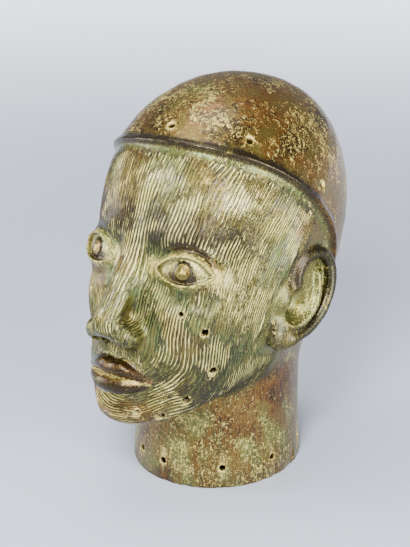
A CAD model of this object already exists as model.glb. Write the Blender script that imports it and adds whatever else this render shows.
import math

import bpy
import numpy as np
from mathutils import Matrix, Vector


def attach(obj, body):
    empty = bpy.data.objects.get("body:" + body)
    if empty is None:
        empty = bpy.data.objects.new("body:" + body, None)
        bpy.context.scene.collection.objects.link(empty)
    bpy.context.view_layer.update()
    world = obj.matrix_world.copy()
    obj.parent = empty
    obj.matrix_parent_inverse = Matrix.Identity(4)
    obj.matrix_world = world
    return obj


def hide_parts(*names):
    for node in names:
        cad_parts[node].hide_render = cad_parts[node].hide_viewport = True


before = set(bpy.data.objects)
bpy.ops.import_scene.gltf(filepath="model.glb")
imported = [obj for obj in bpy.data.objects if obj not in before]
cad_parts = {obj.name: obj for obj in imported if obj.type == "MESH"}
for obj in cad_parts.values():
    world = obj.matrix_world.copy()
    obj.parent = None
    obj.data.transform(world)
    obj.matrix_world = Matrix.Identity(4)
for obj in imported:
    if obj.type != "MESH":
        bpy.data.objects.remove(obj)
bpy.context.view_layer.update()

# The looks of a hollow cast bronze head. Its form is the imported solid's, as one field in millimetres in the
# same frame, cut finer, with the engraved lines of the face, the uneven skin of the metal and its patina.
CROWN = 296
EQUATOR = 200
CROWN_LEAN = 13
STRETCH = 1.06
TILT = math.radians(15)
PIVOT_Y, PIVOT_Z = 0, 75
NECK_Y = 29
NECK_TOP = 150
WALL = 5

EYE = {"x": 33.5, "y": -67.5, "z": 168, "yaw": math.radians(20), "half": 19.5}
EYEBALL = (24, 16, 18)
LID = (26.5, 18, 20.2)
IRIS = {"radius": 5.6, "height": 0.9, "edge": 0.6}
LID_CREASE = {"lift": 5.2, "width": 1.3, "depth": 1.3}
EAR = {"x": 74, "y": 5, "z": 157, "lean": math.radians(-18), "flare": 0.22, "scale": 1.1}

RIM_STEP, RIM_RIDGE, RIM_WIDTH, RIM_SKEW = 2.0, 2.4, 3.0, 0.08
NAIL_HOLE = 4.4
SMALL_HOLE = 2.6
CAP_HOLES_ABOVE_RIM = 15
NECK_HOLES_HEIGHT = 16

# Fineness of the mesh: the lattice's cell, the triangles left before the lines are cut, how near the midline
# or a line's edge a point has to be to count as on it, and the least share of lines in a lined region
CELL = 1.2
TRIANGLES = 85000
NEAR_MIDLINE = 0.1
NEAR_LEVEL = 0.06
LINED = 0.02
TINY = 1e-9

# The engraved lines, the unevenness of the cast skin, and the worn edge of the foot with its chipped place
LINE_GAP = 1.8
LINE_DEPTH = 0.55
SKIN_DEPTH = 0.12
FOOT_WEAR = 0.8
CHIPPED = (62, 42, 7)

# Colours of the bronze and of its patina
BRONZE, WARM_BROWN, VERDIGRIS, PALE_BLOOM = "6a5e28", "6e4313", "5a703a", "a19a70"
DARK_BROWN, CREAM_DEPOSIT = "221a0d", "ccb65e"
LINE_FLANK, LINE_FILLING, HOLLOW_BROWN = "2e2715", "cfc575", "3b2d16"
FLOOR_GREY, FLOOR_GLOW, STUDIO_WHITE = "b6bdcc", "e8eeff", "f2f3f6"

# The field's own place in the frame, and the camera
SHIFT_Y = -18.43
CAMERA_AZIMUTH, CAMERA_ELEVATION, CAMERA_DISTANCE = 39, 21, 0.9
CAMERA_TARGET = (0, -0.0044, 0.148)
CAMERA_LENS = 81.3


# Smooth joins, ramps and curves
def length(*parts):
    return np.sqrt(sum(part * part for part in parts))


def smooth_min(a, b, blend):
    share = np.clip(0.5 + 0.5 * (b - a) / blend, 0, 1)
    return b + (a - b) * share - blend * share * (1 - share)


def smooth_max(a, b, blend):
    return -smooth_min(-a, -b, blend)


def bell(value, middle, width):
    return np.exp(-(((value - middle) / width) ** 2))


def ramp(start, end, value):
    share = np.clip((value - start) / (end - start), 0, 1)
    return share * share * (3 - 2 * share)


# A smooth curve through places and their values, level beyond its ends
def spline(knots):
    places, values = np.array(knots, float).T
    gaps = np.diff(places)
    slopes = np.diff(values) / gaps
    inner = (slopes[:-1] * gaps[1:] + slopes[1:] * gaps[:-1]) / (gaps[1:] + gaps[:-1])
    tangents = np.concatenate([slopes[:1], inner, slopes[-1:]])

    def curve(place):
        at = np.clip(place, places[0], places[-1])
        i = np.clip(np.searchsorted(places, at, side="left") - 1, 0, len(gaps) - 1)
        t = (at - places[i]) / gaps[i]
        rise = t * t * (3 - 2 * t)
        leave = t * (1 - t) ** 2 * gaps[i] * tangents[i]
        arrive = t * t * (t - 1) * gaps[i] * tangents[i + 1]
        return values[i] * (1 - rise) + values[i + 1] * rise + leave + arrive

    return curve


# That many points on a smooth path through a few
def through(points, count):
    steps = np.linspace(0, len(points) - 1, count)
    columns = [spline(list(enumerate(column)))(steps) for column in zip(*points)]
    return np.stack(columns, 1)


# About the distance to an ellipsoid, less than 0 inside it
def ellipsoid(x, y, z, centre, radii):
    px, py, pz = (x - centre[0]) / radii[0], (y - centre[1]) / radii[1], (z - centre[2]) / radii[2]
    reach = length(px, py, pz)
    return reach * (reach - 1) / (length(px / radii[0], py / radii[1], pz / radii[2]) + TINY)


# The distance to a round tube, whose path holds points with their radius
def tube(x, y, z, path):
    nearest = np.full(np.shape(x), np.inf)
    for a, b in zip(path[:-1], path[1:]):
        run = b[:3] - a[:3]
        along = ((x - a[0]) * run[0] + (y - a[1]) * run[1] + (z - a[2]) * run[2]) / (run @ run)
        t = np.clip(along, 0, 1)
        away = length(x - a[0] - t * run[0], y - a[1] - t * run[1], z - a[2] - t * run[2])
        nearest = np.minimum(nearest, away - (a[3] + t * (b[3] - a[3])))
    return nearest


# Skull, jaw and neck
FRONT = spline([
    (20, -50), (40, -60), (52, -73), (62, -81.5), (75, -84), (90, -87), (105, -89.5),
    (125, -90.5), (145, -90.5), (165, -91), (185, -92.5), (200, -92), (230, -92),
])
BACK = spline([
    (20, 60), (60, 60), (80, 63), (100, 70), (120, 81), (140, 91), (160, 98), (180, 101), (200, 101),
    (230, 101),
])
HALF_WIDTH = spline([
    (20, 34), (40, 42), (60, 49), (80, 55.5), (100, 61.5), (120, 67), (140, 71.5), (160, 75), (180, 77.5),
    (200, 79), (230, 79),
])
SECTION_SQUARENESS = 2.15
DOME_SQUARENESS = 2.12


def skull(x, y, z):
    level = np.minimum(z, EQUATOR)
    over = np.maximum(z - EQUATOR, 0)
    up = over / (CROWN - EQUATOR)
    middle = (FRONT(level) + BACK(level)) / 2 + CROWN_LEAN * up * up
    deep = (BACK(level) - FRONT(level)) / 2
    square = SECTION_SQUARENESS
    flat = (np.abs(x / HALF_WIDTH(level)) ** square + np.abs((y - middle) / deep) ** square) ** (1 / square)
    square = DOME_SQUARENESS
    share = (flat**square + up**square) ** (1 / square) + TINY
    return length(x, y - middle, over) * (1 - 1 / share)


def jaw_edge(y, z):
    slope = 0.558
    edge = smooth_min(98 + slope * y, 104, 30)
    return (edge - z) / math.hypot(1, slope)


NECK_HALF_WIDTH = spline([(-5, 63), (12, 62), (40, 60.5), (80, 60), (150, 54)])
NECK_HALF_DEPTH = spline([(-5, 67), (12, 66), (40, 64), (80, 63), (150, 54)])


def neck(x, y, z):
    share = length(x / NECK_HALF_WIDTH(z), (y - NECK_Y) / NECK_HALF_DEPTH(z)) + TINY
    return smooth_max(length(x, y - NECK_Y) * (1 - 1 / share), z - NECK_TOP, 20)


# From the standing part to the upright head that the face is drawn on, and back
def to_upright(y, z):
    dy, dz = y - PIVOT_Y, z - PIVOT_Z
    cosine, sine = math.cos(TILT), math.sin(TILT)
    height = PIVOT_Z + sine * dy + cosine * dz
    return PIVOT_Y + cosine * dy - sine * dz, CROWN - (CROWN - height) / STRETCH


def from_upright(x, y, z):
    dy, dz = y - PIVOT_Y, CROWN - (CROWN - z) * STRETCH - PIVOT_Z
    cosine, sine = math.cos(TILT), math.sin(TILT)
    return np.array([x, PIVOT_Y + cosine * dy + sine * dz, PIVOT_Z - sine * dy + cosine * dz])


def broad_form(x, y, z):
    side = np.abs(x)
    hy, hz = to_upright(y, z)
    brow = 2.6 * bell(hz, 186, 10) * bell(side, 26, 22)
    socket = -7 * bell(hz, 170, 15) * bell(side, 31, 20)
    nose_root = -1.2 * bell(hz, 174, 12) * bell(side, 15, 8)
    cheekbone = 3.4 * bell(hz, 138, 17) * bell(side, 47, 17)
    cheek_hollow = -1.6 * bell(hz, 108, 18) * bell(side, 42, 12)
    mouth_swell = 4.5 * bell(hz, 95, 17) * bell(side, 0, 27)
    chin = 5 * bell(hz, 64, 12) * bell(side, 0, 20)
    chin_crease = -3 * bell(hz, 79, 6) * bell(side, 0, 20)
    relief = brow + socket + nose_root + cheekbone + cheek_hollow + mouth_swell + chin + chin_crease
    temple = 3 * ramp(20, -20, hy) * bell(hy, -48, 26) * bell(hz, 188, 24) * ramp(40, 65, side)
    head = smooth_max(skull(x, hy, hz) - ramp(-15, -55, hy) * relief + temple, jaw_edge(hy, hz), 22)
    return smooth_min(head, neck(x, y, z), 9 + 11 * ramp(30, 85, y))


# Nose and lips
BRIDGE = np.array([
    (0, -84.5, 186, 7.5), (0, -90.5, 166, 8.4), (0, -98, 145, 9.6), (0, -104, 129, 10.4),
])
WING_AT, WING_RADII = (12.2, -96.5, 121.5), (9.4, 11, 8.2)
PHILTRUM_DEPTH, PHILTRUM_WIDTH = 1.4, 3.4
UPPER_LIP = through([
    (0, -93.4, 98.3, 4.7), (7, -93.2, 99.3, 4.9), (15, -90, 97.6, 3.9), (21, -86.4, 95.6, 2.6),
    (26, -83.2, 94, 1.6),
], 10)
LOWER_LIP = through([
    (0, -92.6, 87.6, 6.3), (8, -91.8, 87.9, 6), (16, -88.4, 89.6, 4.6), (22, -84.8, 91.8, 2.6),
    (26, -83, 93.4, 1.4),
], 10)


def nose(form, side, y, z):
    wings = smooth_min(tube(side, y, z, BRIDGE), ellipsoid(side, y, z, WING_AT, WING_RADII), 7)
    groove = bell(side, 0, PHILTRUM_WIDTH) * ramp(118, 112, z) * ramp(100, 105, z) * ramp(-80, -90, y)
    return smooth_min(form, wings, 9) + PHILTRUM_DEPTH * groove


def mouth(side, y, z):
    return smooth_min(tube(side, y, z, UPPER_LIP), tube(side, y, z, LOWER_LIP), 1.2)


# Eyes between raised lid edges, measured from its middle: u outwards, v to the back, w up
def eye_place(side, y, z):
    dx, dy = side - EYE["x"], y - EYE["y"]
    cosine, sine = math.cos(EYE["yaw"]), math.sin(EYE["yaw"])
    return cosine * dx + sine * dy, cosine * dy - sine * dx, z - EYE["z"]


def lid_heights(u):
    open_share = np.clip(1 - (u / EYE["half"]) ** 2, 0, 1)
    return 9.4 * open_share**0.85 + 0.05 * u, -7.2 * open_share**0.95 + 0.05 * u


def lid_path(upper, lift, radius):
    u = np.linspace(-EYE["half"], EYE["half"], 13)
    w = lid_heights(u)[0 if upper else 1] + lift
    v = -LID[1] * np.sqrt(np.maximum(1 - (u / LID[0]) ** 2 - (w / LID[2]) ** 2, 0.02))
    return np.stack([u, v, w, np.full(13, radius)], 1)


UPPER_LID_EDGE = lid_path(True, 0.9, 1.7)
LOWER_LID_EDGE = lid_path(False, -0.8, 1.5)


def lid_crease(u, v, w):
    over_lid = ramp(1.25 * EYE["half"], 0.8 * EYE["half"], np.abs(u))
    crease = bell(w, lid_heights(u)[0] + LID_CREASE["lift"] * over_lid, LID_CREASE["width"])
    return over_lid * ramp(2, -4, v) * crease


def lid_edges(u, v, w):
    return np.minimum(tube(u, v, w, UPPER_LID_EDGE), tube(u, v, w, LOWER_LID_EDGE))


def eye(form, side, y, z):
    u, v, w = eye_place(side, y, z)
    shape = smooth_min(form, ellipsoid(u, v, w, (0, 0, 0), LID), 6)
    shape = smooth_min(shape + LID_CREASE["depth"] * lid_crease(u, v, w), lid_edges(u, v, w), 1.6)
    upper, lower = lid_heights(u)
    opening = np.maximum(np.maximum(w - upper, lower - w), np.maximum(np.abs(u) - EYE["half"], v))
    shape = smooth_max(shape, -opening, 1)
    from_iris = length(u, w - 1)
    disc = IRIS["height"] * ramp(IRIS["radius"] + IRIS["edge"], IRIS["radius"] - IRIS["edge"], from_iris)
    ball = ellipsoid(u, v, w, (0, 0, 0), EYEBALL) - disc
    beside = (np.abs(u) > 36) | (np.abs(w) > 30) | (v > 5)
    return np.where(beside, form, smooth_min(shape, ball, 0.8))


# Ears drawn flat: a to the back, b up, and x out from the head
HELIX = through([
    (6, -8, 4, 2.2), (6.2, -12, 14, 2.8), (6.2, -9, 25, 3.3), (6.4, 1, 31, 3.6), (6.6, 12, 26, 3.6),
    (6.8, 17.5, 14, 3.5), (6.6, 18, 0, 3.3), (6, 13.5, -13, 3.2), (4.5, 4, -24, 3.4),
], 22)
ANTIHELIX = through([
    (6.4, 4, 18, 2.2), (7.2, 8.5, 8, 2.6), (7.2, 8.5, -3, 2.8), (6.6, 4, -13, 2.8), (6, -3, -17, 2.6),
], 12)
EAR_PLATE = (-1, 0, 2), (7.5, 19.5, 31)
LOBE = (0.5, -3.5, -25.5), (4.6, 8, 9)
BOWL = (10.5, -4.5, -5), (10.5, 7.5, 11.5)
TRAGUS = (2.6, -13.5, -4), (4.4, 3.6, 7)


def ear_place(side, y, z):
    dy, dz = y - EAR["y"], z - EAR["z"]
    cosine, sine = math.cos(EAR["lean"]), math.sin(EAR["lean"])
    a, b = (cosine * dy + sine * dz) / EAR["scale"], (cosine * dz - sine * dy) / EAR["scale"]
    return (side - EAR["x"]) / EAR["scale"] - EAR["flare"] * a, a, b


def ear_shell(x, a, b):
    shape = smooth_min(ellipsoid(x, a, b, *EAR_PLATE), tube(x, a, b, HELIX), 3)
    shape = smooth_min(shape, ellipsoid(x, a, b, *LOBE), 8)
    return smooth_min(shape, tube(x, a, b, ANTIHELIX), 2.5) * EAR["scale"]


def ear(form, side, y, z):
    x, a, b = ear_place(side, y, z)
    bowl = ellipsoid(x, a, b, *BOWL) * EAR["scale"]
    tragus = ellipsoid(x, a, b, *TRAGUS) * EAR["scale"]
    shape = smooth_min(smooth_max(smooth_min(form, ear_shell(x, a, b), 4), -bowl, 2.5), tragus, 6)
    return np.where((np.abs(a) > 34) | (np.abs(b) > 48) | (x < -25), form, shape)


# Distance in side view to the cap's rim, positive on the cap
RIM_LINE = through([
    (-140, 252), (-95, 246), (-60, 239.5), (-25, 228), (7, 211), (32, 191), (46, 170), (55, 153), (66, 143),
    (88, 139), (120, 138), (160, 138),
], 30)


def over_rim(x, y, z):
    level = z - RIM_SKEW * x
    nearest = np.full(np.shape(x), np.inf)
    side = np.ones(np.shape(x))
    for (ay, az), (by, bz) in zip(RIM_LINE[:-1], RIM_LINE[1:]):
        dy, dz = by - ay, bz - az
        t = np.clip(((y - ay) * dy + (level - az) * dz) / (dy * dy + dz * dz), 0, 1)
        away = length(y - ay - t * dy, level - az - t * dz)
        closer = away < nearest
        side = np.where(closer, np.where(dy * (level - az) - dz * (y - ay) >= 0, 1.0, -1.0), side)
        nearest = np.where(closer, away, nearest)
    return side * nearest


# The whole outside, with each feature worked out only for the points near it
def outside(x, y, z):
    side = np.abs(x)
    hy, hz = to_upright(y, z)
    form = broad_form(x, y, z)

    def refine(near, change):
        form[near] = change(form[near], side[near], hy[near], hz[near])

    close = np.abs(form) < 30
    refine(close & (hy < -55) & (side < 45), nose)
    refine(close & (hy < -55) & (side < 45) & (hz < 125), lambda f, *at: smooth_min(f, mouth(*at), 2.5))
    refine(close & (hy < -45) & (np.abs(hz - EYE["z"]) < 30) & (side < 72), eye)
    refine(close & (side > 50) & (np.abs(hz - EAR["z"]) < 56) & (np.abs(hy - EAR["y"]) < 50), ear)
    near = np.abs(form) < 15
    over = over_rim(x[near], hy[near], hz[near])
    form[near] -= RIM_STEP * ramp(-1.5, 1.5, over) + RIM_RIDGE * bell(over, RIM_STEP, RIM_WIDTH)
    return form


# Nail holes, as lines through the wall, by their bearing and rise in degrees
HEAD_MIDDLE = np.array([0, 12, 160.0])
CAP_BEARINGS = (4, 75, 115, 150, -175, -142, -108, -70)
BEARD_HOLES = ((40, -15), (44, -34), (31, -41), (20, -43.5))
SMALL_BEARD_HOLES = ((29, -6), (11, -40))
NECK_BEARINGS = (-21, 1, 42, 80, 118, 158, -162, -122, -86, -52)
NOSTRIL_AT, NOSTRIL_RADII = (8.6, -101.5, 112.5), (4.3, 6, 6.2)
CHIP_AROUND, CHIP_WIDTH, CHIP_HEIGHT = 98, 5.5, 2
HOLE_REACH = 15


def bearing(around, up):
    turn, rise = math.radians(around), math.radians(up)
    return np.array([math.sin(turn) * math.cos(rise), -math.cos(turn) * math.cos(rise), math.sin(rise)])


def surface_point(start, outwards):
    reach, away = 170.0, 1.0
    while away > 0.05 and reach > 0:
        at = start + reach * outwards
        away = outside(*at[:, None])[0]
        reach -= 0.7 * away
    return at


def cap_hole(around):
    for up in range(85, -50, -1):
        at = surface_point(HEAD_MIDDLE, bearing(around, up))
        if over_rim(at[0], *to_upright(at[1], at[2])) < CAP_HOLES_ABOVE_RIM:
            return at, bearing(around, up), NAIL_HOLE / 2


def beard_hole(around, up, width):
    return surface_point(HEAD_MIDDLE, bearing(around, up)), bearing(around, up), width / 2


def neck_hole(around):
    start = np.array([0, NECK_Y, NECK_HOLES_HEIGHT])
    return surface_point(start, bearing(around, 0)), bearing(around, 0), NAIL_HOLE / 2


def nostril_bore(side):
    x, y, z = NOSTRIL_AT
    at = from_upright(side * x, y, z)
    inwards = from_upright(side * x, y + 12, z + 8) - at
    return at, -inwards / np.linalg.norm(inwards), NAIL_HOLE / 2


nail_holes = [
    *[cap_hole(around) for around in CAP_BEARINGS],
    *[beard_hole(turn * around, up, NAIL_HOLE) for around, up in BEARD_HOLES for turn in (1, -1)],
    *[beard_hole(turn * around, up, SMALL_HOLE) for around, up in SMALL_BEARD_HOLES for turn in (1, -1)],
    *[neck_hole(around) for around in NECK_BEARINGS],
]
nostril_bores = [nostril_bore(1), nostril_bore(-1)]
chip_at = surface_point(np.array([0, NECK_Y, 1.0]), bearing(CHIP_AROUND, 0))


def hole_cut(x, y, z, hole):
    at, outwards, radius = hole
    offset = np.stack([x - at[0], y - at[1], z - at[2]], -1)
    along = offset @ outwards
    away = np.sqrt(np.maximum((offset * offset).sum(-1) - along * along, 0))
    flare = 0.8 * ramp(-1.2, 0.6, along)
    return np.maximum(away - radius - flare, np.abs(along) - HOLE_REACH)


# The casting: its outside less the hollow, the holes and what lies under the foot
def casting(x, y, z):
    form = outside(x, y, z)
    for hole in nail_holes + nostril_bores:
        at = hole[0]
        near = (np.abs(x - at[0]) < 20) & (np.abs(y - at[1]) < 20) & (np.abs(z - at[2]) < 20)
        form[near] = smooth_max(form[near], -hole_cut(x[near], y[near], z[near], hole), 0.6)
    hy, hz = to_upright(y, z)
    form = smooth_max(form, -ellipsoid(np.abs(x), hy, hz, NOSTRIL_AT, NOSTRIL_RADII), 0.8)
    chip = ellipsoid(x, y, z, (*chip_at[:2], 0), (CHIP_WIDTH, CHIP_WIDTH, CHIP_HEIGHT))
    form = smooth_max(form, -chip, 0.5)
    return np.maximum(np.maximum(form, -(broad_form(x, y, z) + WALL)), -z)


# The surface where a form is zero: one point in each lattice cell that it crosses, settled along the slope
SPACE_LOW, SPACE_HIGH = np.array([-104, -124, -12.0]), np.array([104, 152, 304.0])
BLOCK = 6
BLOCKS_AT_ONCE = 1500
ON_FLOOR = 0.3


def slope(form, p, nudge=0.05):
    value = form(*p.T)
    steps = [form(*(p + nudge * axis).T) for axis in np.eye(3)]
    return value, (np.stack(steps, 1) - value[:, None]) / nudge


def surface_of(form, cell):
    blocks = np.ceil((SPACE_HIGH - SPACE_LOW) / cell / BLOCK).astype(int)
    counts = blocks * BLOCK
    values = np.empty(counts, np.float32)
    split = values.reshape(blocks[0], BLOCK, blocks[1], BLOCK, blocks[2], BLOCK)
    by_block = split.transpose(0, 2, 4, 1, 3, 5)
    corner = np.indices(blocks).reshape(3, -1).T * BLOCK
    middle = form(*(SPACE_LOW + (corner + BLOCK / 2) * cell).T)
    by_block[tuple((corner // BLOCK).T)] = middle[:, None, None, None]
    inner = np.indices((BLOCK, BLOCK, BLOCK)).reshape(3, -1).T
    near = corner[np.abs(middle) < 1.15 * BLOCK * cell]
    for part in np.array_split(near, max(1, len(near) // BLOCKS_AT_ONCE)):
        at = SPACE_LOW + (part[:, None] + inner).reshape(-1, 3) * cell
        by_block[tuple((part // BLOCK).T)] = form(*at.T).reshape(-1, BLOCK, BLOCK, BLOCK)

    filled = values < 0
    same = filled[:-1, :-1, :-1]
    crossed = np.zeros(same.shape, bool)
    corners = [(i, j, k) for i in (0, 1) for j in (0, 1) for k in (0, 1)]
    for i, j, k in corners:
        crossed |= filled[i:i + same.shape[0], j:j + same.shape[1], k:k + same.shape[2]] != same
    cells = np.argwhere(crossed)
    number = np.full(crossed.shape, -1, np.int64)
    number[crossed] = np.arange(len(cells))
    total = np.zeros((len(cells), 3))
    crossings = np.zeros(len(cells))
    for axis in range(3):
        step = np.eye(3, dtype=int)[axis]
        for start in corners:
            if start[axis]:
                continue
            a = values[tuple((cells + start).T)]
            b = values[tuple((cells + start + step).T)]
            cut = (a < 0) != (b < 0)
            share = np.where(cut, a / np.where(cut, a - b, 1), 0)
            total[cut] += (np.array(start) + share[:, None] * step)[cut]
            crossings += cut
    points = SPACE_LOW + (cells + total / crossings[:, None]) * cell

    quads = []
    for axis in range(3):
        step = np.eye(3, dtype=int)[axis]
        one, two = np.eye(3, dtype=int)[(axis + 1) % 3], np.eye(3, dtype=int)[(axis + 2) % 3]
        a = filled[1:-1, 1:-1, 1:-1]
        b = filled[1 + step[0]:, 1 + step[1]:, 1 + step[2]:][:a.shape[0], :a.shape[1], :a.shape[2]]
        at = np.argwhere(a != b) + 1
        round_edge = [number[tuple((at - shift).T)] for shift in (one + two, two, 0 * one, one)]
        quad = np.stack(round_edge, 1)
        empty = ~filled[tuple(at.T)]
        quad[empty] = quad[empty][:, ::-1]
        quads.append(quad)
    for _ in range(2):
        value, direction = slope(form, points)
        steepness = (direction**2).sum(1) + 1e-6
        points += direction * np.clip(-value / steepness, -0.5 * cell, 0.5 * cell)[:, None]
    points[points[:, 2] < ON_FLOOR, 2] = 0
    return points, np.concatenate(quads)


# Blender meshes from arrays of points and faces, and back after thinning
def made_mesh(name, points, faces):
    mesh = bpy.data.meshes.new(name)
    mesh.vertices.add(len(points))
    mesh.vertices.foreach_set("co", np.asarray(points, np.float32).ravel())
    mesh.loops.add(faces.size)
    mesh.loops.foreach_set("vertex_index", faces.astype(np.int32).ravel())
    mesh.polygons.add(len(faces))
    mesh.polygons.foreach_set("loop_start", np.arange(0, faces.size, faces.shape[1], dtype=np.int32))
    mesh.update(calc_edges=True)
    mesh.validate()
    return mesh


def thinned(points, faces, target):
    mesh = made_mesh("thinning", points, faces)
    thing = bpy.data.objects.new("thinning", mesh)
    bpy.context.scene.collection.objects.link(thing)
    thing.modifiers.new("thin", "DECIMATE").ratio = target / (2 * len(faces))
    thin = thing.evaluated_get(bpy.context.evaluated_depsgraph_get()).to_mesh()
    thin.calc_loop_triangles()
    kept = np.empty(len(thin.vertices) * 3, np.float32)
    thin.vertices.foreach_get("co", kept)
    corners = np.empty(len(thin.loop_triangles) * 3, np.int32)
    thin.loop_triangles.foreach_get("vertices", corners)
    bpy.data.objects.remove(thing)
    bpy.data.meshes.remove(mesh)
    return kept.reshape(-1, 3).astype(float), corners.reshape(-1, 3).astype(np.int64)


# Both ends of each side of each face
def edges_of(faces):
    return np.sort(np.concatenate([faces[:, [0, 1]], faces[:, [1, 2]], faces[:, [2, 0]]]), 1)


# Draws together the ends of each edge that more than two faces share, and drops faces that lie on each other,
# until none is left
def mended(points, faces):
    crowded = [None]
    while len(crowded):
        edges, uses = np.unique(edges_of(faces), axis=0, return_counts=True)
        crowded = edges[uses > 2]
        goes_to = np.arange(len(points))
        goes_to[crowded[:, 1]] = crowded[:, 0]
        faces = goes_to[faces]
        faces = faces[(faces != np.roll(faces, 1, 1)).all(1)]
        _, kind, uses = np.unique(np.sort(faces, 1), axis=0, return_inverse=True, return_counts=True)
        faces = faces[uses[kind.ravel()] == 1]
    used, faces = np.unique(faces, return_inverse=True)
    return points[used], faces.reshape(-1, 3)


# Slow unevenness about 0, as a sum of fixed waves in many directions
def uneven(p, size, seed):
    waves = 14
    rng = np.random.default_rng(seed)
    direction = rng.normal(size=(waves, 3))
    direction /= np.linalg.norm(direction, axis=1)[:, None]
    stretch = rng.uniform(0.6, 1.6, waves)
    start = rng.uniform(0, 2 * np.pi, waves)
    total = sum(np.sin(p @ direction[i] * (2 * np.pi / size * stretch[i]) + start[i]) for i in range(waves))
    return total / math.sqrt(waves / 2)


# The engraved lines run down the forehead, lean forward over temples and cheeks and close in arcs under the
# mouth. A second, short family runs down the upper lip. Each is measured in half gaps from the midline. A
# point's place in the flow is its way round from the midline, and its upright y and z.
FLOW_AXIS_Y = 5
FLOW_RADIUS = spline([(50, 58), (75, 64), (100, 73), (140, 83), (190, 88), (250, 84)])
FLOW_FOCUS = 118
FLOW_ARC = 1.12
FLOW_FAN = 0.45


def flow_place(p):
    x, y, z = p.T
    hy, hz = to_upright(y, z)
    turn = np.arctan2(np.abs(x), FLOW_AXIS_Y - hy)
    own = length(x, hy - FLOW_AXIS_Y)
    radius = own + (FLOW_RADIUS(hz) - own) * ramp(0.35, 0.8, turn)
    return turn * radius, hy, hz


def line_phases(p):
    way, hy, hz = flow_place(p)
    over = np.maximum(hz - FLOW_FOCUS, 0)
    under = np.minimum(hz - FLOW_FOCUS, 0)
    main = length(way, FLOW_ARC * under) / (1 + FLOW_FAN * (over / 110) ** 1.4)
    wander = (0.4 * uneven(p, 45, 11) + 0.13 * uneven(p, 12, 12)) * ramp(1, 9, way)
    return np.stack([main + wander, way + wander], 1) / (LINE_GAP / 2)


# Where each family is cut, from 0 to 1: not in the eyes, lips, ears and nostrils, on the cap or on the neck
def line_shares(p):
    x, y, z = p.T
    side = np.abs(x)
    way, hy, hz = flow_place(p)
    u, v, w = eye_place(side, hy, hz)
    upper, lower = lid_heights(u)
    off_eye = np.maximum(np.maximum(w - upper - 8, lower - 4 - w), np.abs(u) - 25)
    skin = np.where(hy < -25, ramp(0, 1.5, off_eye), 1)
    skin *= ramp(-4, -6, over_rim(x, hy, hz))
    skin *= ramp(2, 3.5, mouth(side, hy, hz))
    skin *= ramp(4, 7, ear_shell(*ear_place(side, hy, hz))) * ramp(12, 0, hy)
    skin *= ramp(-0.5, -3, jaw_edge(hy, hz)) * ramp(0.5, 3, neck(x, y, z))
    skin *= ramp(1, 3, ellipsoid(side, hy, hz, NOSTRIL_AT, NOSTRIL_RADII)) * ramp(-3, -2, outside(x, y, z))
    lip_way = way + 0.5 * (hz - 100)
    lip_zone = ramp(119, 116, hz) * ramp(96, 99, hz) * ramp(27, 24, lip_way)
    lip_edge = ramp(123, 120, hz) * ramp(94, 97, hz) * ramp(31, 28, lip_way)
    return np.stack([skin * (1 - lip_edge), skin * lip_zone], 1)


# 0 on a line's crest and 1 at its bottom
def ridged(phase):
    return np.abs(np.mod(phase + 1, 2) - 1)


# The points where the edges of a lined region cross each whole step of a phase. cuts(i, j) finds them again.
def level_cuts(rows, faces, column, lined):
    phase = rows[:, column]
    edges = edges_of(faces)
    edges = np.unique(edges[lined[edges].all(1)], axis=0)
    first = np.floor(phase[edges].min(1)).astype(int) + 1
    count = np.maximum(np.ceil(phase[edges].max(1)).astype(int) - first, 0)
    start = len(rows) + np.cumsum(count) - count
    edge = np.repeat(np.arange(len(edges)), count)
    level = first[edge] + np.arange(len(edge)) + len(rows) - start[edge]
    a, b = edges[edge].T
    share = (level - phase[a]) / (phase[b] - phase[a])
    cut_rows = rows[a] + share[:, None] * (rows[b] - rows[a])
    cut_rows[:, column] = level
    known = dict(zip(map(tuple, edges.tolist()), zip(first.tolist(), count.tolist(), start.tolist())))

    def cuts(i, j):
        low_level, number, at = known.get((min(i, j), max(i, j)), (0, 0, 0))
        return {low_level + n: at + n for n in range(number)}

    return cut_rows, cuts


# A triangle inside the region comes apart in strips between levels
def strips(tri, phase, cuts):
    order = sorted(range(3), key=lambda n: phase[tri[n]])
    low, mid, high = (tri[n] for n in order)
    turned = order in ([0, 1, 2], [1, 2, 0], [2, 0, 1])
    long_side, short_side = cuts(low, high), {**cuts(low, mid), **cuts(mid, high)}
    from_long, from_short, past_mid = low, low, False
    made = []
    for step in [*sorted(long_side), None]:
        to_long = high if step is None else long_side[step]
        to_short = high if step is None else short_side.get(step, mid)
        ring = [from_long, to_long, to_short]
        if not past_mid and (step is None or step >= phase[mid]):
            ring.append(mid)
            past_mid = True
        ring.append(from_short)
        ring = [point for n, point in enumerate(ring) if point != ring[n - 1]]
        if turned:
            ring.reverse()
        made += [(ring[0], ring[n], ring[n + 1]) for n in range(1, len(ring) - 1)]
        from_long, from_short = to_long, to_short
    return made


# The corners of a triangle on the region's edge, with the cuts between them
def cut_ring(tri, phase, cuts):
    ring = []
    for i, j in zip(tri, tri[1:] + tri[:1]):
        between = cuts(i, j)
        ring += [i] + [between[step] for step in sorted(between, reverse=phase[i] > phase[j])]
    return ring


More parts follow.
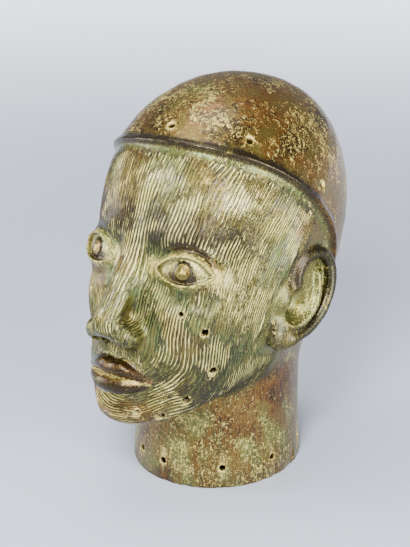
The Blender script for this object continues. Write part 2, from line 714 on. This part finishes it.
# Cuts the triangles of a lined region along each whole step of a phase, so that the lines come out crisp.
# Rows hold a point and its phases. A triangle on the region's edge is fanned out from its middle.
def sliced(rows, faces, column, lined):
    phase = rows[:, column]
    marked = lined[faces]
    cut_rows, cuts = level_cuts(rows, faces, column, lined)
    made = []
    for tri in faces[marked.all(1)].tolist():
        made += strips(tri, phase, cuts)
    middles = []
    for tri in faces[marked.any(1) & ~marked.all(1)].tolist():
        ring = cut_ring(tri, phase, cuts)
        if len(ring) == 3:
            made.append(tuple(ring))
            continue
        middle = len(rows) + len(cut_rows) + len(middles)
        middles.append(rows[tri].mean(0))
        made += [(middle, i, j) for i, j in zip(ring, ring[1:] + ring[:1])]
    rows = np.concatenate([rows, cut_rows, *([middles] if middles else [])])
    return rows, np.concatenate([faces[~marked.any(1)], np.array(made, np.int64)])


# The mesh is cut at the midline first, by x in metres, which is a whole number only there. Then it is cut
# along each family of lines.
points, faces = mended(*thinned(*surface_of(casting, CELL), TRIANGLES))
points[np.abs(points[:, 0]) < NEAR_MIDLINE, 0] = 0
rows = np.column_stack([points, points[:, 0] / 1000])
rows, faces = sliced(rows, faces, 3, line_shares(points)[:, 0] > LINED)
points = rows[:, :3]
rows = np.concatenate([points, line_phases(points)], 1)
for family in (0, 1):
    whole = np.round(rows[:, 3 + family])
    near = np.abs(rows[:, 3 + family] - whole) < NEAR_LEVEL
    rows[near, 3 + family] = whole[near]
    rows, faces = sliced(rows, faces, 3 + family, line_shares(rows[:, :3])[:, family] > LINED)
points, phases = rows[:, :3], rows[:, 3:]

# Each point moves in by the depth of its line, by the unevenness of the cast skin and by the wear of the foot
shares = line_shares(points)
worn = np.clip(0.85 + 0.25 * uneven(points, 28, 5) + 0.12 * uneven(points, 8, 7), 0.1, 1.2)
groove = (shares * ridged(phases)).sum(1)
_, direction = slope(casting, points)
direction /= length(*direction.T)[:, None] + TINY
by_foot = ramp(4, 0.5, points[:, 2]) + ramp(12, 3, length(*(points - CHIPPED).T))
dent = LINE_DEPTH * groove * worn + SKIN_DEPTH * (1 + uneven(points, 18, 6)) * ramp(0, 2, points[:, 2])
dent += FOOT_WEAR * by_foot * ramp(0.5, 1.4, uneven(points, 9, 51))
skin = points - direction * dent[:, None]
placed = (skin + np.array([0, SHIFT_Y, 0])) / 1000

# The piece, with sharp edges along the crests and the bottoms of the lines
mesh = made_mesh("head_bronze", placed, faces)
mesh.polygons.foreach_set("use_smooth", np.ones(len(faces), bool))
ends = np.empty(2 * len(mesh.edges), np.int32)
mesh.edges.foreach_get("vertices", ends)
one, two = ends.reshape(-1, 2).T
on_level = (phases[one] == phases[two]) & (np.mod(phases[one], 1) == 0)
on_level &= np.minimum(shares[one], shares[two]) > 0.1
sharp = mesh.attributes.new("sharp_edge", "BOOLEAN", "EDGE")
sharp.data.foreach_set("value", on_level.any(1))
head = bpy.data.objects.new("head_bronze", mesh)
bpy.context.scene.collection.objects.link(head)


# Where the patina differs, as shares from 0 to 1 that the material reads. A patch has a middle, a reach and
# its tints.
TINTS = ("warm", "dark", "green", "pale", "cream", "polish")
PATCHES = [
    [(3, -13, 275), 15, dict(cream=0.4, dark=0.55)],
    [(44, -9, 261), 15, dict(cream=0.36, dark=0.65)],
    [(30, -14, 268), 10, dict(dark=0.82, cream=0.42)],
    [(31, 33, 283), 22, dict(warm=0.6, dark=0.25, cream=0.24)],
    [(-4, 10, 285), 14, dict(green=0.6, cream=0.42, dark=0.2)],
    [(-18, -47, 235), 14, dict(warm=0.55, dark=0.36, green=0.2, cream=0.34)],
    [(59, -38, 112), 18, dict(dark=0.62, green=0.7, pale=0.05)],
    [(60, 24, 71), 16, dict(warm=0.8, green=0.1, cream=0.15)],
    [(13, -34, 26), 14, dict(green=0.65, cream=0.42, dark=0.3)],
    [(3, -37, 3), 9, dict(warm=0.75, dark=0.5, cream=0.15)],
]
tint = {name: np.zeros(len(points)) for name in TINTS}


def lay(share, **values):
    for name, value in values.items():
        tint[name] += np.clip(share, 0, 1) * (value - tint[name])


px, py, pz = points.T
side = np.abs(px)
way, hy, hz = flow_place(points)
over = over_rim(px, hy, hz)

# Face: green and brown at large, dark over the brows, polished on forehead and cheeks, green along the jaw,
# and brown under the chin
everywhere = np.ones(len(points))
lay(everywhere, warm=0.36, dark=0.47, green=0.5, pale=0.2, cream=0.23, polish=0.65)
lay(ramp(0.0, 1.1, uneven(points, 70, 21)), green=0.66)
lay(ramp(0.2, 1.2, uneven(points, 55, 22)), warm=0.46, green=0.3)
lay(ramp(0.3, 1.3, uneven(points, 40, 23)), pale=0.38)
lay(bell(hz, 192, 12) * ramp(85, 62, way), dark=0.92, warm=0.5, cream=0.12, pale=0)
lay(bell(hz, 217, 20) * bell(way, 70, 24), pale=0.38, dark=0.4, green=0.42, cream=0.25, polish=0.95)
lay(bell(hz, 155, 24) * bell(way, 78, 20), pale=0.4, dark=0.3, cream=0.38, polish=0.95)
lay(ramp(118, 95, hz) * ramp(20, 45, way), dark=0.7, green=0.58, pale=0.05, cream=0.2)
lay(ramp(84, 74, hz) * ramp(45, 20, way), warm=0.55, dark=0.4, cream=0.3, green=0.25)
lay(bell(hz, 130, 25) * ramp(-35, -60, px), warm=0.65, green=0.2)
lay(bell(over, -3, 2), green=0.7, cream=0.3)

# Neck and nape: brown, mottled with green
nape = ramp(5, 30, hy) * ramp(-1, -5, over)
on_neck = np.maximum(ramp(2.5, 0, neck(px, py, pz)) * ramp(-6, 0, jaw_edge(hy, hz)), nape)
lay(on_neck, warm=0.62, dark=0.45, green=0.36, pale=0.1, cream=0.3, polish=0.6)
lay(on_neck * ramp(0.2, 1, uneven(points, 30, 41)), warm=0.7, green=0.2, dark=0.55)
lay(on_neck * ramp(0.2, 1, uneven(points, 26, 42)), warm=0.4, green=0.6, cream=0.42)
lay(on_neck * ramp(40, 6, pz), pale=0.35, cream=0.36)

# Ears: green inside, with a dark polished edge and lobe, and a dark place in front
ex, ea, eb = ear_place(side, hy, hz)
by_ear = side > 50
on_ear = ramp(4, 1, ear_shell(ex, ea, eb)) * by_ear
on_helix = on_ear * ramp(3, 0.5, tube(ex, ea, eb, HELIX)) * ramp(4, 8, ex)
in_front = by_ear * bell(ea, -13, 5) * bell(eb, 17, 11)
lay(on_ear, warm=0.4, dark=0.36, green=0.5, cream=0.3, polish=0.85)
lay(on_ear * ramp(-14, -22, eb), dark=0.6, warm=0.5, cream=0.2, polish=0.95)
lay(on_helix, dark=0.75, cream=0.1, polish=0.95)
lay(in_front, dark=0.95, warm=0.5, cream=0.1, green=0.1, polish=0.8)

# Eyes: cream in the corners and along the lids, dark under the iris, cream on its knob
u, v, w = eye_place(side, hy, hz)
upper, lower = lid_heights(u)
by_eye = hy < -45
lay(by_eye * bell(np.abs(u), 23, 5) * bell(w, 0, 6), cream=0.75, dark=0.1, pale=0.4)
lay(by_eye * ramp(2.5, 0.5, lid_edges(u, v, w)), cream=0.48, green=0.6, dark=0.3)
between_lids = ramp(0.6, -0.6, np.maximum(w - upper, lower - w))
open_eye = by_eye * between_lids * ramp(EYE["half"], EYE["half"] - 1, np.abs(u))
lay(open_eye, green=0.6, cream=0.45, pale=0.5, dark=0.2, warm=0.1, polish=0.85)
from_iris = length(u, w - 1)
lay(open_eye * bell(from_iris, 8.5, 2.5) * ramp(2, -3, w), dark=0.95, green=0.1, cream=0.1)
lay(open_eye * ramp(6.2, 5.4, from_iris), warm=0.42, cream=0.3, pale=0.1, dark=0.15, green=0)
lay(open_eye * ramp(2.6, 1.6, from_iris), cream=0.75)
lay(open_eye * bell(from_iris, 5.9, 0.9), dark=0.9, cream=0)

# Lips: dark and polished, with cream between them
on_lips = (hy < -60) * ramp(2.2, 0.4, mouth(side, hy, hz))
lay(on_lips, dark=0.66, warm=0.62, green=0.2, pale=0.15, cream=0.12, polish=1)
lay(on_lips * ramp(91, 87, hz), dark=0.85, warm=0.45)
lay(on_lips * bell(hz, 93.3 - 0.04 * side, 1.2), cream=0.65, green=0.6, dark=0.2)

# Cap: brown with cream flecks, and a dark polished rim
on_cap = ramp(3, 8, over)
on_rim = bell(over, 2.4, 3.2)
lay(ramp(-0.5, 1.5, over), warm=0.6, dark=0.32, green=0.24, pale=0.1, cream=0.33, polish=0.7)
lay(on_cap * ramp(0.0, 1.2, uneven(points, 45, 31)), cream=0.42)
lay(on_cap * ramp(0.1, 1.3, uneven(points, 60, 32)), dark=0.6)
for at, size, values in PATCHES:
    lay(np.exp(-(length(*(points - at).T) / size) ** 2), **values)
lay(on_rim, dark=0.85, warm=0.3, pale=0.2, cream=0, green=0.05, polish=1)
lay(on_rim * ramp(20, 45, py), dark=0.5, warm=0.7)

# A cream ring round each nail hole, and dark metal inside the head
ring = np.full(len(points), np.inf)
for at, outwards, radius in nail_holes:
    offset = points - at
    from_axis = length(*(offset - np.outer(offset @ outwards, outwards)).T)
    from_ring = np.where(length(*offset.T) > 8, np.inf, np.abs(from_axis - radius - 0.7))
    ring = np.minimum(ring, from_ring)
lay(ramp(1.0, 0.3, ring), cream=0.65, dark=0.1, pale=0.5)
inner = ramp(-1.5, -3.5, outside(*points.T))
lay(inner, dark=0.85, warm=0.5, green=0.1, pale=0.1, cream=0.12, polish=0.1)

# How closed in a point is, and the way across the strokes of the patina: across the lines on the face, and
# round the neck
OPEN_REACH = 4
STROKE_RADIUS = 60
hollow = 1 - np.clip(casting(*(points + OPEN_REACH * direction).T) / OPEN_REACH, 0, 1)
round_neck = STROKE_RADIUS * np.arctan2(px, NECK_Y - py)
across = np.where(on_neck > 0.5, round_neck, phases[:, 0] * LINE_GAP / 2) * (over < 0)
for name, values in {**tint, "groove": groove * worn, "hollow": hollow, "across": across}.items():
    mesh.attributes.new(name, "FLOAT", "POINT").data.foreach_set("value", values.astype(np.float32))


# Materials. The node functions add to the material that was made last.
def colour(code):
    parts = [int(code[i:i + 2], 16) / 255 for i in (0, 2, 4)]
    return tuple(part / 12.92 if part < 0.04 else ((part + 0.055) / 1.055) ** 2.4 for part in parts) + (1,)


def new_material(name):
    global nodes, links
    material = bpy.data.materials.new(name)
    material.use_nodes = True
    nodes, links = material.node_tree.nodes, material.node_tree.links
    return material


def feed(socket, value):
    if isinstance(value, bpy.types.NodeSocket):
        links.new(value, socket)
    else:
        socket.default_value = value


def sum_of(a, b, times=1.0):
    """The first, and the second that many times"""
    node = nodes.new("ShaderNodeMath")
    node.operation = "MULTIPLY_ADD"
    feed(node.inputs[0], b)
    feed(node.inputs[1], times)
    feed(node.inputs[2], a)
    return node.outputs[0]


def product(a, b):
    node = nodes.new("ShaderNodeMath")
    node.operation = "MULTIPLY"
    feed(node.inputs[0], a)
    feed(node.inputs[1], b)
    return node.outputs[0]


def stepped(value, low, high, to_low=0.0, to_high=1.0):
    node = nodes.new("ShaderNodeMapRange")
    node.interpolation_type = "SMOOTHSTEP"
    for socket, given in zip(node.inputs, (value, low, high, to_low, to_high)):
        feed(socket, given)
    return node.outputs[0]


def blended(share, a, b):
    node = nodes.new("ShaderNodeMix")
    node.data_type = "RGBA"
    feed(node.inputs[0], share)
    feed(node.inputs[6], a)
    feed(node.inputs[7], b)
    return node.outputs[2]


def stored(name):
    node = nodes.new("ShaderNodeAttribute")
    node.attribute_name = name
    return node.outputs["Fac"]


def grain(size_mm, detail, rough, warp=0.0):
    """Noise about 0, with spots of about that size"""
    node = nodes.new("ShaderNodeTexNoise")
    node.inputs["Scale"].default_value = 500 / size_mm
    node.inputs["Detail"].default_value = detail
    node.inputs["Roughness"].default_value = rough
    node.inputs["Distortion"].default_value = warp
    links.new(place, node.inputs["Vector"])
    return sum_of(-0.5, node.outputs["Fac"])


def strokes(width_mm, run_mm):
    """Noise about 0 in strokes that run with the engraved lines, and up and down on the neck"""
    mapping = nodes.new("ShaderNodeMapping")
    mapping.inputs["Scale"].default_value = (1000 / run_mm,) * 3
    links.new(place, mapping.inputs["Vector"])
    node = nodes.new("ShaderNodeTexNoise")
    node.noise_dimensions = "4D"
    node.inputs["Scale"].default_value = 1
    node.inputs["Detail"].default_value = 3
    node.inputs["Roughness"].default_value = 0.65
    links.new(mapping.outputs[0], node.inputs["Vector"])
    feed(node.inputs["W"], product(stored("across"), 1 / width_mm))
    return sum_of(-0.5, node.outputs["Fac"])


bronze = new_material("bronze_look")
place = nodes.new("ShaderNodeTexCoord").outputs["Object"]
blotch = grain(12, 5, 0.6, warp=0.6)
speck = grain(1.3, 4, 0.7, warp=0.6)
dust = grain(0.5, 3, 0.65)
stroke = strokes(1.3, 12)
hairline = strokes(0.5, 5)


def patch(name, soft, *noises):
    """Where a stored tint, broken up by noises of given strengths, passes a half"""
    value = stored(name)
    for noise, strength in noises:
        value = sum_of(value, noise, strength)
    return stepped(value, 0.5 - soft, 0.5 + soft)


look = colour(BRONZE)
warm = patch("warm", 0.25, (blotch, 1.5), (stroke, 0.9), (speck, 0.7))
look = blended(warm, look, colour(WARM_BROWN))
green = patch("green", 0.25, (stroke, 1.2), (blotch, 1.1), (speck, 0.8))
look = blended(green, look, colour(VERDIGRIS))
pale = patch("pale", 0.3, (blotch, 0.8), (stroke, 1.0), (hairline, 0.8))
look = blended(product(pale, 0.8), look, colour(PALE_BLOOM))
dark = patch("dark", 0.2, (blotch, 1.1), (stroke, 1.3), (hairline, 1.3), (speck, 0.6))
look = blended(product(dark, 0.9), look, colour(DARK_BROWN))
cream = patch("cream", 0.15, (speck, 1.3), (dust, 1.0), (stroke, 0.7), (blotch, 0.5))
look = blended(product(cream, 0.85), look, colour(CREAM_DEPOSIT))
flank = sum_of(sum_of(stored("groove"), stroke, 1.4), hairline, 0.8)
look = blended(stepped(flank, 0.15, 0.5, 0, 0.8), look, colour(LINE_FLANK))
line = stepped(sum_of(flank, blotch, 0.7), 0.62, 1.0)
look = blended(product(line, 0.85), look, colour(LINE_FILLING))
closed_in = stepped(sum_of(stored("hollow"), speck, 0.8), 0.5, 1.0, 0, 0.6)
look = blended(closed_in, look, colour(HOLLOW_BROWN))

# Bare metal shines, deposit is dull, and a thin wax coat lies over both
shader = nodes["Principled BSDF"]
deposit = sum_of(product(cream, 0.7), line, 0.5)
rough = sum_of(sum_of(stepped(stored("polish"), 0, 1, 0.55, 0.25), dust, 0.4), deposit, 0.2)
feed(shader.inputs["Base Color"], look)
feed(shader.inputs["Metallic"], stepped(deposit, 0.0, 1.0, 0.85, 0.2))
feed(shader.inputs["Roughness"], rough)
shader.inputs["Coat Weight"].default_value = 0.25
shader.inputs["Coat Roughness"].default_value = 0.25
bump = nodes.new("ShaderNodeBump")
bump.inputs["Distance"].default_value = 0.0004
bump.inputs["Strength"].default_value = 0.8
feed(bump.inputs["Height"], sum_of(sum_of(speck, dust, 0.4), stroke, 1.2))
feed(shader.inputs["Normal"], bump.outputs[0])
mesh.materials.append(bronze)

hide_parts("head")
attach(head, "root")

# A pale floor that glows a little more the further it lies from the head, as a lit backdrop does
bpy.ops.mesh.primitive_plane_add(size=8)
floor = bpy.context.object
floor.name = "floor"
floor_look = new_material("floor_look")
board = nodes["Principled BSDF"]
board.inputs["Base Color"].default_value = colour(FLOOR_GREY)
board.inputs["Roughness"].default_value = 0.7
board.inputs["Emission Color"].default_value = colour(FLOOR_GLOW)
far = nodes.new("ShaderNodeVectorMath")
far.operation = "LENGTH"
links.new(nodes.new("ShaderNodeTexCoord").outputs["Object"], far.inputs[0])
feed(board.inputs["Emission Strength"], stepped(far.outputs["Value"], 0.3, 2.6, 0, 2.7))
floor.data.materials.append(floor_look)

# Camera and lights, all turned to the middle of the head
azimuth, elevation = math.radians(CAMERA_AZIMUTH), math.radians(CAMERA_ELEVATION)
level_share = math.cos(elevation)
back = Vector((math.sin(azimuth) * level_share, -math.cos(azimuth) * level_share, math.sin(elevation)))
camera = bpy.data.objects.new("camera", bpy.data.cameras.new("camera"))
bpy.context.scene.collection.objects.link(camera)
camera.location = Vector(CAMERA_TARGET) + back * CAMERA_DISTANCE
camera.rotation_euler = (-back).to_track_quat("-Z", "Y").to_euler()
camera.data.sensor_width = 36
camera.data.lens = CAMERA_LENS
bpy.context.scene.camera = camera


def softbox(name, at, size, power):
    light = bpy.data.objects.new(name, bpy.data.lights.new(name, "AREA"))
    light.data.shape = "RECTANGLE"
    light.data.size, light.data.size_y = size
    light.data.energy = power
    light.location = at
    light.rotation_euler = (Vector(CAMERA_TARGET) - Vector(at)).to_track_quat("-Z", "Y").to_euler()
    bpy.context.scene.collection.objects.link(light)


softbox("camera_softbox", (0.45, -0.95, 0.95), (0.35, 0.35), 33)
softbox("top_softbox", (-0.2, 0.0, 1.6), (0.9, 0.9), 16)
softbox("left_softbox", (-0.95, -0.8, 0.5), (0.5, 0.9), 20)
softbox("right_softbox", (1.25, -0.15, 0.35), (0.5, 0.9), 32)

world = bpy.data.worlds.new("studio")
world.use_nodes = True
background = world.node_tree.nodes["Background"]
background.inputs["Color"].default_value = colour(STUDIO_WHITE)
background.inputs["Strength"].default_value = 0.42
bpy.context.scene.world = world
